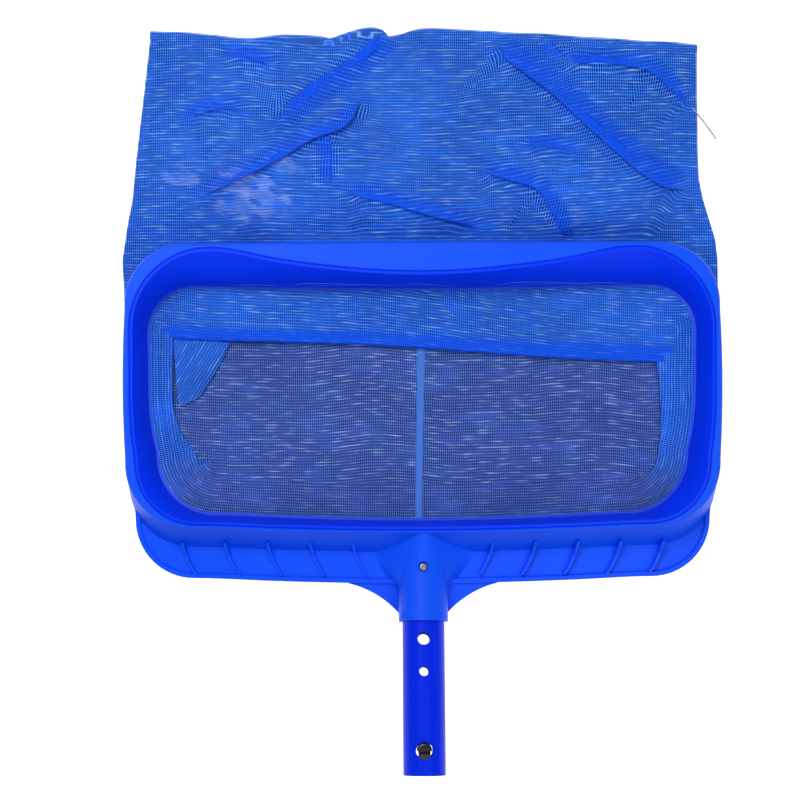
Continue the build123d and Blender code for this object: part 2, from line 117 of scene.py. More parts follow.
def route(points, steps=12):
    # Catmull-Rom line through given points
    points = np.array(points, float)
    padded = np.vstack([2 * points[0] - points[1], points, 2 * points[-1] - points[-2]])
    line = []
    for a, b, c, d in zip(padded, padded[1:], padded[2:], padded[3:]):
        for t in np.linspace(0, 1, steps, endpoint=False):
            line.append(0.5 * (2 * b + (c - a) * t + (2 * a - 5 * b + 4 * c - d) * t ** 2
                               + (3 * b - a - 3 * c + d) * t ** 3))
    return np.array(line + [points[-1]])


def nearRoute(x, y, line):
    # signed distance to the line (positive on its left), share of its length, and the left normal
    best = np.full(x.shape, 1e9)
    signed, share = np.zeros(x.shape), np.zeros(x.shape)
    normalX, normalY = np.zeros(x.shape), np.zeros(x.shape)
    lengths = np.hypot(*np.diff(line, axis=0).T)
    total, done = lengths.sum(), 0.0
    for start, end, length in zip(line, line[1:], lengths):
        tx, ty = (end - start) / length
        along = np.clip((x - start[0]) * tx + (y - start[1]) * ty, 0, length)
        dx, dy = x - start[0] - along * tx, y - start[1] - along * ty
        gap = np.hypot(dx, dy)
        closer = gap < best
        best = np.where(closer, gap, best)
        signed = np.where(closer, np.where(tx * dy - ty * dx >= 0, gap, -gap), signed)
        share = np.where(closer, (done + along) / total, share)
        normalX, normalY = np.where(closer, -ty, normalX), np.where(closer, tx, normalY)
        done += length
    return signed, share, normalX, normalY


def ripple(x, y, waves):
    # sum of slow waves: (length, direction in degrees, phase, height)
    height = np.zeros(np.broadcast(x, y).shape)
    for length, turn, phase, size in waves:
        along = x * math.cos(math.radians(turn)) + y * math.sin(math.radians(turn))
        height = height + size * np.sin(2 * math.pi * along / length + phase)
    return height


smallestFace = 1e-10  # m2; a face smaller than this is left out


def clothMesh(name, x, y, z, u, v, material, extra=None):
    # one layer of cloth from rows and columns of points; its threads follow the UV map, in metres
    rows, columns = x.shape
    index = np.arange(rows * columns).reshape(rows, columns)
    quads = np.stack([index[:-1, :-1], index[:-1, 1:], index[1:, 1:], index[1:, :-1]], -1).reshape(-1, 4)
    points = np.stack([x, y, z], -1).reshape(-1, 3) * mm
    cloth = np.stack([u, v], -1).reshape(-1, 2) * mm
    a, b, c, d = (points[quads[:, i]] for i in range(4))
    halves = np.cross(b - a, c - a), np.cross(c - a, d - a)
    area = 0.5 * sum(np.linalg.norm(half, axis=1) for half in halves)
    quads = quads[area > smallestFace]
    mesh = bpy.data.meshes.new(name)
    mesh.from_pydata(points.tolist(), [], quads.tolist())
    layer = mesh.uv_layers.new(name="cloth")
    layer.data.foreach_set("uv", cloth[quads.reshape(-1)].astype(np.float32).ravel())
    for key, values in (extra or {}).items():
        attribute = mesh.attributes.new(key, "FLOAT", "POINT")
        attribute.data.foreach_set("value", values.astype(np.float32).ravel())
    mesh.validate()
    mesh.shade_smooth()
    obj = bpy.data.objects.new(name, mesh)
    bpy.context.scene.collection.objects.link(obj)
    wear(obj, material)
    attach(obj, "net_head")
    print("cloth", name, len(mesh.polygons), "faces, area", round(float(area.sum()), 4), "m2")
    return obj


# ---- camera, lights and floor

cameraPlace = {"left": -15.5, "up": 0.1, "height": 1038.0, "lens": 65.84, "turn": -0.25}


def addCamera(place):
    data = bpy.data.cameras.new("camera")
    data.lens = place["lens"]
    data.sensor_width = 36
    camera = bpy.data.objects.new("camera", data)
    middle = (cadLow + cadHigh) / 2
    camera.location = (middle.x + place["left"] * mm, middle.y + place["up"] * mm, place["height"] * mm)
    camera.rotation_euler = (0, 0, math.radians(place["turn"]))
    bpy.context.scene.collection.objects.link(camera)
    bpy.context.scene.camera = camera


studio = {  # lights in row millimetres, their disks in metres
    "key": {"at": (-330, 560, 1080), "size": 0.6, "power": 10.6},
    "fill": {"at": (420, -560, 1050), "size": 0.9, "power": 5.8},
    "worldStrength": 0.3,
    "floor": {"size": 6, "gap": 0.4, "glow": 0.75},
}


def addLight(name, setting):
    data = bpy.data.lights.new(name, "AREA")
    data.shape = "DISK"
    data.size = setting["size"]
    data.energy = setting["power"]
    light = bpy.data.objects.new(name, data)
    light.location = Vector(setting["at"]) * mm
    light.rotation_euler = (Vector((0, 0, 0)) - light.location).to_track_quat("-Z", "Y").to_euler()
    bpy.context.scene.collection.objects.link(light)


def addStudio():
    addLight("key", studio["key"])
    addLight("fill", studio["fill"])
    world = bpy.data.worlds.new("softRoom")
    world.use_nodes = True
    background = world.node_tree.nodes["Background"]
    background.inputs["Color"].default_value = linear("ffffff")
    background.inputs["Strength"].default_value = studio["worldStrength"]
    bpy.context.scene.world = world
    bpy.context.scene.view_settings.view_transform = "Standard"
    setting = studio["floor"]
    bpy.ops.mesh.primitive_plane_add(size=setting["size"], location=(0, 0, cadLow.z - setting["gap"] * mm))
    floor = bpy.context.object
    floor.name = "paleFloor"
    material, _, shader = newMaterial("palePaper")
    shader.inputs["Base Color"].default_value = linear("f4f5f6")
    shader.inputs["Roughness"].default_value = 0.9
    shader.inputs["Emission Color"].default_value = linear("ffffff")
    shader.inputs["Emission Strength"].default_value = setting["glow"]  # lit table: it keeps no shadow
    wear(floor, material)


addCamera(cameraPlace)
addStudio()
print("stage 1: camera, lights and floor")


# ---- hard materials


def mouldedPolypropylene(name, deep, light, roughness):
    # Injection-moulded polypropylene: one even pigment, a fine matt grain and a soft waxy shine
    material, tree, shader = newMaterial(name)
    place = addNode(tree, "TexCoord").outputs["Object"]
    cloud = addNode(tree, "TexNoise", {"Vector": place, "Scale": 1 / 0.09, "Detail": 2.0})
    tinted(tree, shader, cloud.outputs["Fac"], deep, light)
    grain = addNode(tree, "TexNoise", {"Vector": place, "Scale": 1 / 0.0009, "Detail": 3.0})
    roughened(tree, shader, grain.outputs["Fac"], roughness - 0.05, roughness + 0.07)
    # slight sink marks, 35 mm apart
    sink = addNode(tree, "TexNoise", {"Vector": place, "Scale": 1 / 0.035, "Detail": 1.0})
    height = addNode(tree, "Math", {0: sink.outputs["Fac"], 1: 9.0, 2: grain.outputs["Fac"]},
                     operation="MULTIPLY_ADD")
    raised(tree, shader, height.outputs[0], 0.25, 0.06)
    shader.inputs["IOR"].default_value = 1.49
    shader.inputs["Specular IOR Level"].default_value = 0.12
    return material


tubeTilt = math.radians(12)


def paintedTube():
    # Powder-coated drawn aluminium tube: the coat keeps the fine lengthwise draw lines of the tube
    material, tree, shader = newMaterial("powderCoatedTube")
    place = addNode(tree, "TexCoord").outputs["Object"]
    lined = addNode(tree, "Mapping", {"Vector": place, "Rotation": (tubeTilt, 0, 0)})
    stretch = (1 / 0.0012, 1 / 0.09, 1 / 0.0012)
    drawn = addNode(tree, "Mapping", {"Vector": lined.outputs[0], "Scale": stretch})
    lines = addNode(tree, "TexNoise", {"Vector": drawn.outputs[0], "Scale": 1.0, "Detail": 4.0})
    tinted(tree, shader, lines.outputs["Fac"], "0020ca", "002ce4")
    roughened(tree, shader, lines.outputs["Fac"], 0.2, 0.42)
    raised(tree, shader, lines.outputs["Fac"], 0.3, 0.08)
    shader.inputs["Specular IOR Level"].default_value = 0.08
    return material


def platedSteel():
    # Zinc-plated steel screw: grey metal with a faintly mottled plating
    material, tree, shader = newMaterial("zincPlatedSteel")
    place = addNode(tree, "TexCoord").outputs["Object"]
    mottle = addNode(tree, "TexNoise", {"Vector": place, "Scale": 1 / 0.0006, "Detail": 3.0})
    tinted(tree, shader, mottle.outputs["Fac"], "5a5c62", "a4a6a8")
    roughened(tree, shader, mottle.outputs["Fac"], 0.18, 0.4)
    shader.inputs["Metallic"].default_value = 1.0
    return material


def mouldedNylon():
    # Black glass-filled nylon of the spring clip: smooth, slightly mottled, fairly shiny
    material, tree, shader = newMaterial("blackNylon")
    place = addNode(tree, "TexCoord").outputs["Object"]
    mottle = addNode(tree, "TexNoise", {"Vector": place, "Scale": 1 / 0.0015, "Detail": 3.0})
    tinted(tree, shader, mottle.outputs["Fac"], "060608", "17171b")
    roughened(tree, shader, mottle.outputs["Fac"], 0.16, 0.3)
    shader.inputs["IOR"].default_value = 1.53
    return material


paintNode("outer_frame", mouldedPolypropylene("frameBluePolypropylene", "064aea", "0b52f2", 0.42))
paintNode("retaining_ring", mouldedPolypropylene("ringBluePolypropylene", "0030ec", "0038f4", 0.4))
paintNode("handle_tube", paintedTube())
paintNode("handle_screw", platedSteel())
nylon = mouldedNylon()
for clipNode in ("clip_bend", "clip_front_arm", "clip_back_arm"):
    paintNode(clipNode, nylon)
print("stage 2: hard materials")


# ---- cloth materials

weavePitch = {"across": 1.37, "along": 2.05}  # mm from thread to thread


def knittedMesh(name, palette, cellShadeCover, blendTo=None, thinSpots=False, folds=False, streaks=0.85):
    # Knitted polyester mesh: lengthwise threads crossed by flat ones that carry a painted sheen, with tall open
    # cells painted dark as shade
    material, tree, shader = newMaterial(name)
    cloth = addNode(tree, "UVMap", uv_map="cloth").outputs[0]
    cellsPerMetre = (1 / (weavePitch["across"] * mm), 1 / (weavePitch["along"] * mm), 1)
    cells = addNode(tree, "Mapping", {"Vector": cloth, "Scale": cellsPerMetre}).outputs[0]
    drift = addNode(tree, "TexNoise", {"Vector": cells, "Scale": 0.07, "Detail": 2.0}, noise_dimensions="2D")
    centred = addNode(tree, "VectorMath", {0: drift.outputs["Color"], 1: (0.5, 0.5, 0.5)},
                      operation="SUBTRACT")
    moved = addNode(tree, "VectorMath", {0: centred.outputs[0], 1: (0.9, 0.6, 0), 2: cells},
                    operation="MULTIPLY_ADD").outputs[0]
    split = addNode(tree, "SeparateXYZ", {0: moved})
    gaps = []
    for axis, inner, outer in ((0, 0.14, 0.24), (1, 0.12, 0.22)):
        fromThread = addNode(tree, "Math", {0: split.outputs[axis], 1: 0.5}, operation="PINGPONG")
        reach = addNode(tree, "MapRange", {"Value": fromThread.outputs[0], "From Min": inner, "From Max": outer})
        gaps.append(reach.outputs[0])
    open_ = addNode(tree, "Math", {0: gaps[0], 1: gaps[1]}, operation="MULTIPLY").outputs[0]
    flat = addNode(tree, "VectorMath", {0: moved, 1: (0.06, 0.34, 0)}, operation="MULTIPLY")
    patch = addNode(tree, "TexNoise", {"Vector": flat.outputs[0], "Scale": 0.8, "Detail": 3.0},
                    noise_dimensions="2D")
    clear = addNode(tree, "MapRange", {"Value": patch.outputs["Fac"], "From Min": 0.26, "From Max": 0.46,
                                       "To Min": 0.55})
    hole = addNode(tree, "Math", {0: open_, 1: clear.outputs[0]}, operation="MULTIPLY").outputs[0]
    # painted sheen: the threads are mixed towards the pale bright-thread colour, a little on the lengthwise
    # threads and in streaks on the flat crossing threads
    stretched = addNode(tree, "VectorMath", {0: moved, 1: (0.12, 1.0, 0)}, operation="MULTIPLY")
    life = addNode(tree, "TexNoise", {"Vector": stretched.outputs[0], "Scale": 0.9, "Detail": 1.0},
                   noise_dimensions="2D")
    live = addNode(tree, "MapRange", {"Value": life.outputs["Fac"], "From Min": 0.53, "From Max": 0.86})
    wefts = addNode(tree, "MapRange", {"Value": gaps[1], "To Min": 1.0, "To Max": 0.25}).outputs[0]
    lively = addNode(tree, "Math", {0: live.outputs[0], 1: streaks}, operation="MULTIPLY")
    bright = addNode(tree, "Math", {0: wefts, 1: lively.outputs[0]}, operation="MULTIPLY")
    columns = addNode(tree, "MapRange", {"Value": gaps[0], "To Min": 0.19, "To Max": 0.0}).outputs[0]
    shine = addNode(tree, "Math", {0: columns, 1: bright.outputs[0]}, operation="ADD").outputs[0]

    def shades(key):
        threads = addNode(tree, "Mix", {"Factor": shine, "A": linear(palette[key][1]),
                                        "B": linear(palette[key][2])}, data_type="RGBA")
        threads.clamp_factor = True
        return addNode(tree, "Mix", {"Factor": hole, "A": threads.outputs[2], "B": linear(palette[key][0])},
                       data_type="RGBA").outputs[2]

    colour = shades("own")
    if blendTo:
        share = addNode(tree, "Attribute", attribute_name=blendTo).outputs["Fac"]
        colour = addNode(tree, "Mix", {"Factor": share, "A": colour, "B": shades("other")},
                         data_type="RGBA").outputs[2]
    slow = addNode(tree, "TexNoise", {"Vector": cloth, "Scale": 1 / 0.05, "Detail": 3.0},
                   noise_dimensions="2D")
    level = addNode(tree, "MapRange", {"Value": slow.outputs["Fac"], "From Min": 0.3, "From Max": 0.7,
                                       "To Min": 0.88, "To Max": 1.1})
    colour = addNode(tree, "VectorMath", {0: colour, "Scale": level.outputs[0]}, operation="SCALE").outputs[0]
    # painted shade: open cells are drawn in the dark open-cell colour, which covers them up to the given share
    cover = addNode(tree, "MapRange", {"Value": hole, "To Min": 1.0, "To Max": cellShadeCover}).outputs[0]
    if folds:  # where a pleat lays three layers on each other no cell stays open; the bands beside the folds are painted shade in the same solid darker blue
        fold = addNode(tree, "Attribute", attribute_name="fold").outputs["Fac"]
        solid = addNode(tree, "Mix", {"Factor": shine, "A": linear("0448de"), "B": linear("1a6cf4")},
                        data_type="RGBA").outputs[2]
        colour = addNode(tree, "Mix", {"Factor": fold, "A": colour, "B": solid}, data_type="RGBA").outputs[2]
        cover = addNode(tree, "Math", {0: cover, 1: fold}, operation="MAXIMUM").outputs[0]
    if thinSpots:  # where the cells of both layers line up, the pale floor shows
        spot = addNode(tree, "Attribute", attribute_name="thin").outputs["Fac"]
        seen = addNode(tree, "Math", {0: hole, 1: spot}, operation="MULTIPLY").outputs[0]
        clearing = {"Value": seen, "From Min": 0.2, "From Max": 0.5, "To Min": 1.0, "To Max": 0.0}
        cover = addNode(tree, "MapRange", clearing).outputs[0]
    tree.links.new(colour, shader.inputs["Base Color"])
    tree.links.new(cover, shader.inputs["Alpha"])
    raised(tree, shader, hole, 0.4, -0.2)
    shader.inputs["Roughness"].default_value = 0.6
    shader.inputs["Specular IOR Level"].default_value = 0.08
    return material


# each row: the open cell, painted dark as the shade seen through it, the plain thread and the bright thread;
# shadeMesh is the same mesh painted in shade
shadeMesh = ("000116", "2c53b6", "9cb6ee")
brightMesh = ("000226", "0667f2", "84bafc")
underMesh = knittedMesh("knittedMeshUnder", {"own": shadeMesh}, 1.0, thinSpots=True)
overMesh = knittedMesh("knittedMeshOver", {"own": brightMesh}, 0.6, folds=True)
wallMesh = knittedMesh("knittedMeshWall", {"own": brightMesh, "other": shadeMesh}, 1.0, blendTo="shade",
                       streaks=0.4)


stitching = {"run": 1.3, "swing": 1.2}  # mm along and across the tape for half a zigzag


def sewnTape(name, ground, thread):
    # Narrow woven polyester tape with a zigzag lockstitch
    material, tree, shader = newMaterial(name)
    cloth = addNode(tree, "UVMap", uv_map="cloth").outputs[0]
    split = addNode(tree, "SeparateXYZ", {0: cloth})
    run, swing = stitching["run"] * mm, stitching["swing"] * mm
    zig = addNode(tree, "Math", {0: split.outputs[1], 1: run}, operation="PINGPONG")
    side = addNode(tree, "MapRange", {"Value": zig.outputs[0], "From Max": run, "To Min": -swing,
                                      "To Max": swing})
    gap = addNode(tree, "Math", {0: split.outputs[0], 1: side.outputs[0]}, operation="SUBTRACT")
    near = addNode(tree, "Math", {0: gap.outputs[0]}, operation="ABSOLUTE")
    stitch = addNode(tree, "MapRange", {"Value": near.outputs[0], "From Min": 0.55 * mm, "From Max": 0.3 * mm})
    weave = addNode(tree, "TexNoise", {"Vector": cloth, "Scale": 1 / 0.0007, "Detail": 2.0},
                    noise_dimensions="2D")
    base = addNode(tree, "Mix", {"Factor": weave.outputs["Fac"], "A": linear(ground), "B": linear(thread)},
                   data_type="RGBA")
    colour = addNode(tree, "Mix", {"Factor": stitch.outputs[0], "A": base.outputs[2], "B": linear(thread)},
                     data_type="RGBA")
    tree.links.new(colour.outputs[2], shader.inputs["Base Color"])
    height = addNode(tree, "Math", {0: weave.outputs["Fac"], 1: 0.4, 2: stitch.outputs[0]},
                     operation="MULTIPLY_ADD")
    raised(tree, shader, height.outputs[0], 0.6, 0.3)
    shader.inputs["Roughness"].default_value = 0.62
    return material


tapeCloth = sewnTape("zigzagTape", "1450bc", "3678d6")
seamCloth = sewnTape("turnedSeam", "0e4cd0", "2f72e6")


def twistedRope():
    # Laid polyester hem cord: two-tone strands that lean round the cord
    material, tree, shader = newMaterial("hemRope")
    place = addNode(tree, "TexCoord").outputs["Object"]
    bands = addNode(tree, "TexWave", {"Vector": place, "Scale": 1 / 0.012, "Distortion": 1.5},
                    bands_direction="DIAGONAL")
    tinted(tree, shader, bands.outputs["Fac"], "c9ccd2", "f1f1ee")
    raised(tree, shader, bands.outputs["Fac"], 0.6, 0.4)
    shader.inputs["Roughness"].default_value = 0.7
    return material


def hemStrip():
    # Folded polyester strip that holds the rope: plain weave, the mesh's own blue
    material, tree, shader = newMaterial("hemStripWeave")
    place = addNode(tree, "TexCoord").outputs["Object"]
    weave = addNode(tree, "TexChecker", {"Vector": place, "Scale": 1 / 0.0008,
                                         "Color1": linear("0a3fd2"), "Color2": linear("1d58ee")})
    tree.links.new(weave.outputs["Color"], shader.inputs["Base Color"])
    raised(tree, shader, weave.outputs["Fac"], 0.4, 0.1)
    shader.inputs["Roughness"].default_value = 0.7
    return material


paintNode("hem_cord", twistedRope())
paintNode("hem_band", hemStrip())
print("stage 3: cloth materials")


# ---- outline of the mouth, where the net hangs from the frame

mouth = {"side": 192.2, "sideTop": 192.7, "sideBottom": 186.6, "top": 78.5, "topEnd": 80.8, "bottom": -84.5,
         "bottomEnd": -80.2, "topRound": 33.0, "bottomRound": 42.0, "seatHeight": 10.4, "inset": 0.4}


def mouthOutline(inset=0.0):
    # from the middle of the top edge, left and down, round the mouth; 4 bowed edges and 4 quarter arcs
    side, sideTop, sideBottom = (mouth[key] - inset for key in ("side", "sideTop", "sideBottom"))
    top, topEnd = mouth["top"] - inset, mouth["topEnd"] - inset
    bottom, bottomEnd = mouth["bottom"] + inset, mouth["bottomEnd"] + inset
    rTop, rBottom = mouth["topRound"] - inset, mouth["bottomRound"] - inset
    share = np.linspace(0, 1, 60)
    bow = share ** 2
    xTop, xBottom = sideTop - rTop, sideBottom - rBottom
    yHigh, yLow = topEnd - rTop, bottomEnd + rBottom
    turn = np.radians(np.linspace(0, 90, 24))
    down = np.linspace(yHigh, yLow, 90)
    lean = (down - (yHigh + yLow) / 2) / ((yHigh - yLow) / 2)
    across = side + np.where(lean > 0, sideTop - side, sideBottom - side) * lean ** 2
    left = [
        np.stack([-xTop * share, top + (topEnd - top) * bow], 1),
        np.stack([-xTop - rTop * np.sin(turn), yHigh + rTop * np.cos(turn)], 1),
        np.stack([-across, down], 1),
        np.stack([-xBottom - rBottom * np.cos(turn), yLow - rBottom * np.sin(turn)], 1),
        np.stack([-xBottom * share[::-1], bottom + (bottomEnd - bottom) * bow[::-1]], 1),
    ]
    half = np.vstack([left[0]] + [part[1:] for part in left[1:]])
    return np.vstack([half, half[-2::-1] * (-1, 1)])


def lengthAlong(line):
    return np.concatenate([[0], np.cumsum(np.hypot(*np.diff(line, axis=0).T))])


rimLine = mouthOutline(mouth["inset"])
rimLength = lengthAlong(rimLine)
topEnd, cornerEnd, leftEnd = 60, 84, 172  # points in the rim line up to each of these places


def topEdge(x):
    # height in Y of the mouth's top edge at x, down into both corners
    half = rimLine[:cornerEnd]
    return np.interp(np.abs(x), -half[:, 0], half[:, 1])


# ---- bag outline behind the frame

bag = {
    "lipLine": 72.0,  # Y where the bag leaves the mouth under the lip
    # sides as (Y, X), end as (X, Y)
    "left": [(72, -210.4), (86, -211), (100, -211.6), (114, -209.6), (128, -207.4), (142, -204.5),
             (171, -201.6), (213, -196.5), (255, -191.5), (266, -191)],
    "right": [(72, 210), (99, 209.8), (113, 208.2), (127, 204), (141, 199.8), (155, 197), (170, 196.2),
              (212, 195.8), (266, 195.9)],
    "end": [(-191.5, 262.2), (-184, 261.8), (-163, 261.0), (-142, 258.8), (-121, 256.8), (-99, 259.3),
            (-73, 258.4), (-64, 256.8), (-56, 259.2), (-46, 262.4), (-35, 264.3), (-27, 262.6),
            (-23, 258.2), (-15, 259.0), (-4, 262.4), (7, 263.4), (28, 262.5), (49, 261.2), (70, 259.8),
            (92, 259), (113, 256.9), (134, 255.9), (155, 254), (177, 253), (196, 250.9)],
    "endNear": 258,  # Y of the bag's end, near enough to share out the rows
    "puff": 4.0, "seam": 2.4, "underLip": 4.0, "edgeRoll": 26.0, "endRoll": 20.0,
}


def bagSides(y):
    left = np.interp(y, *np.array(bag["left"]).T)
    right = np.interp(y, *np.array(bag["right"]).T)
    return left, right


def bagEnd(x):
    return np.interp(x, *route(bag["end"]).T)


# ---- pleats of the upper layer

crease = {"width": 6.0, "strength": 0.8, "fade": 1.6, "offset": 0.3}  # painted shade: a solid darker band beside a fold, where the fold's shade falls
slackShare = 0.4  # share of the doubled length that stays in the threads beyond the pleat

pleats = [
    # route from the bag's end towards the frame; the folded edge is on the line's left when side is 1
    {"line": [(-18, 262), (-32, 250), (-52, 234), (-78, 217), (-98, 199), (-113, 184)], "fold": 0.76,
     "reach": 11, "rise": 2.2, "ridge": 2.2, "spread": (10, 24), "side": -1, "fade": (0.14, 0.3),
     "pull": 60, "band": 8},
    {"line": [(-38, 219), (-46, 205), (-56, 193), (-78, 185), (-98, 173), (-132, 155), (-172, 134)],
     "fold": 0.7, "reach": 9, "rise": 2.0, "ridge": 2.6, "spread": (22, 6), "side": 1,
     "fade": (0.14, 0.35), "pull": 70},
    {"line": [(-64, 192), (-64, 146)], "fold": 0.56, "reach": 7, "rise": 1.0, "ridge": 0.6, "spread": (12, 6),
     "side": 1, "fade": (0.3, 0.3), "pull": 40},
    {"line": [(-66, 147), (-32, 142), (6, 131), (28, 125), (52, 115)], "fold": 0.66, "reach": 8, "rise": 1.0,
     "ridge": 1.2, "spread": (20, 8), "side": -1, "fade": (0.25, 0.3), "pull": 40},
    {"line": [(48, 256), (62, 242), (78, 230), (96, 216), (117, 196), (139, 176), (161, 158), (192, 143)],
     "fold": 0.8, "reach": 11, "rise": 2.4, "ridge": 2.4, "spread": (26, 9), "side": -1,
     "fade": (0.12, 0.12), "pull": 70, "band": 9},
    {"line": [(92, 246), (108, 238), (126, 239), (146, 236), (161, 232), (176, 220), (191, 204)],
     "fold": 0.68, "reach": 9, "rise": 1.4, "ridge": 1.8, "spread": (18, 9), "side": -1,
     "fade": (0.2, 0.1), "pull": 40},
    {"line": [(90, 254), (95, 245), (103, 235)], "fold": 0.62, "reach": 6, "rise": 1.2, "ridge": 1.0,
     "spread": (8, 6), "side": 1, "fade": (0.1, 0.4), "pull": 20},
    {"line": [(36, 162), (60, 156), (79, 150), (88, 141), (96, 126), (102, 110)], "fold": 0.66, "reach": 8,
     "rise": 1.6, "ridge": 4.2, "spread": (30, 9), "side": -1, "fade": (0.2, 0.12), "pull": 40},
    {"line": [(-150, 246), (-118, 240), (-92, 232)], "fold": 0.5, "reach": 8, "rise": 0.6, "ridge": 0.9,
     "spread": (16, 10), "side": -1, "fade": (0.4, 0.4), "pull": 30},
    {"line": [(-176, 196), (-140, 206), (-118, 200)], "fold": 0.5, "reach": 8, "rise": 0.6, "ridge": 0.8,
     "spread": (16, 10), "side": -1, "fade": (0.4, 0.4), "pull": 30},
    {"line": [(118, 170), (90, 178), (60, 176)], "fold": 0.48, "reach": 8, "rise": 0.5, "ridge": 0.8,
     "spread": (16, 10), "side": 1, "fade": (0.4, 0.4), "pull": 30},
]


def layPleat(x, y, pleat, keep):
    # the cloth doubles back on itself across the line, as an S in section; it stays put where keep is 0
    side, reach = pleat["side"], pleat["reach"]
    signed, share, nx, ny = nearRoute(x, y, route(pleat["line"]))
    signed, nx, ny = signed * side, nx * side, ny * side
    fadeIn, fadeOut = pleat["fade"]
    hold = smooth(share / fadeIn) * smooth((1 - share) / fadeOut) * keep
    swing = pleat["fold"] * reach * hold
    p = np.clip(signed / reach, -1, 1)
    place = reach * p - swing * np.sin(math.pi * p)
    turning = np.arccos(np.clip(reach / np.maximum(swing * math.pi, 1e-6), -1, 1)) / math.pi
    turning = np.where(swing * math.pi > reach, turning, 0)
    overlap = swing * np.sin(math.pi * turning) - reach * turning
    used = np.where(p < -turning, place + reach,
                    np.where(p <= turning, 2 * overlap + reach - place, 4 * overlap + place + reach))
    pulled = np.where(signed > reach, 1 - smooth((signed - reach) / pleat["pull"]), 1) * (signed > -reach)
    slack = np.where(np.abs(signed) <= reach, used - signed - reach, 4 * overlap * pulled)
    shift = np.where(np.abs(signed) <= reach, place - signed, 0)
    lift = pleat["rise"] * smooth((p + 1) / 0.5) * (1 - smooth((p + 0.4) / 0.75)) * hold
    lift = np.where(np.abs(signed) <= reach, lift, 0)
    behind, ahead = pleat["spread"]
    wide = np.where(signed < 0, behind, ahead)
    ridge = pleat["ridge"] * np.exp(-(signed / wide) ** 2) * hold
    coverAndFoldShade = (np.abs(p) < turning + 0.08) * between(overlap, 0.2, 1.6)
    # painted shade: a solid band beside the fold, added to the fold cover
    band = pleat.get("band", crease["width"])
    fromCrease = np.abs(signed + crease["offset"] * band) / band
    paintedFoldShade = crease["strength"] * smooth(crease["fade"] - fromCrease) * hold
    coverAndFoldShade = np.maximum(coverAndFoldShade, paintedFoldShade)
    slack = slack * slackShare
    return shift * nx, shift * ny, lift + ridge, slack * nx, slack * ny, coverAndFoldShade


panel = {"columns": 300, "flapRows": 30, "foldRows": 9, "returnRows": 9, "bagRows": 150,
         "edgeGap": 0.4, "crowding": 0.28,  # share by which the columns crowd into the corners
         "shortestFlap": 1.5, "bend": 0.55,  # part of a smooth curve that the flap falls along
         "hem": (0.74, 0.86, 0.85),  # where the doubled edge of the flap starts, is full, and its share
         "calm": (106, 122), "behindLip": (108, 138), "sideCalm": 14, "endCalm": 8,
         "foldLine": [(-190, 45), (-150, 42.5), (-130, 42), (-60, 40), (-14, 37.6), (40, 33.5), (92, 29.5),
                      (166, 26), (190, 26)],
         "foldHeight": 6.4, "foldRound": 1.5, "returnHeight": 3.2}
wrinkles = [(61, 78, 0.4, 0.45), (37, 66, 2.1, 0.32), (23, 101, 1.2, 0.2), (88, 20, 0.9, 0.5),
            (17, 84, 0.3, 0.12)]
flapWrinkles = [(31, 84, 0.5, 0.28), (19, 96, 1.0, 0.2), (47, 70, 2.0, 0.3)]


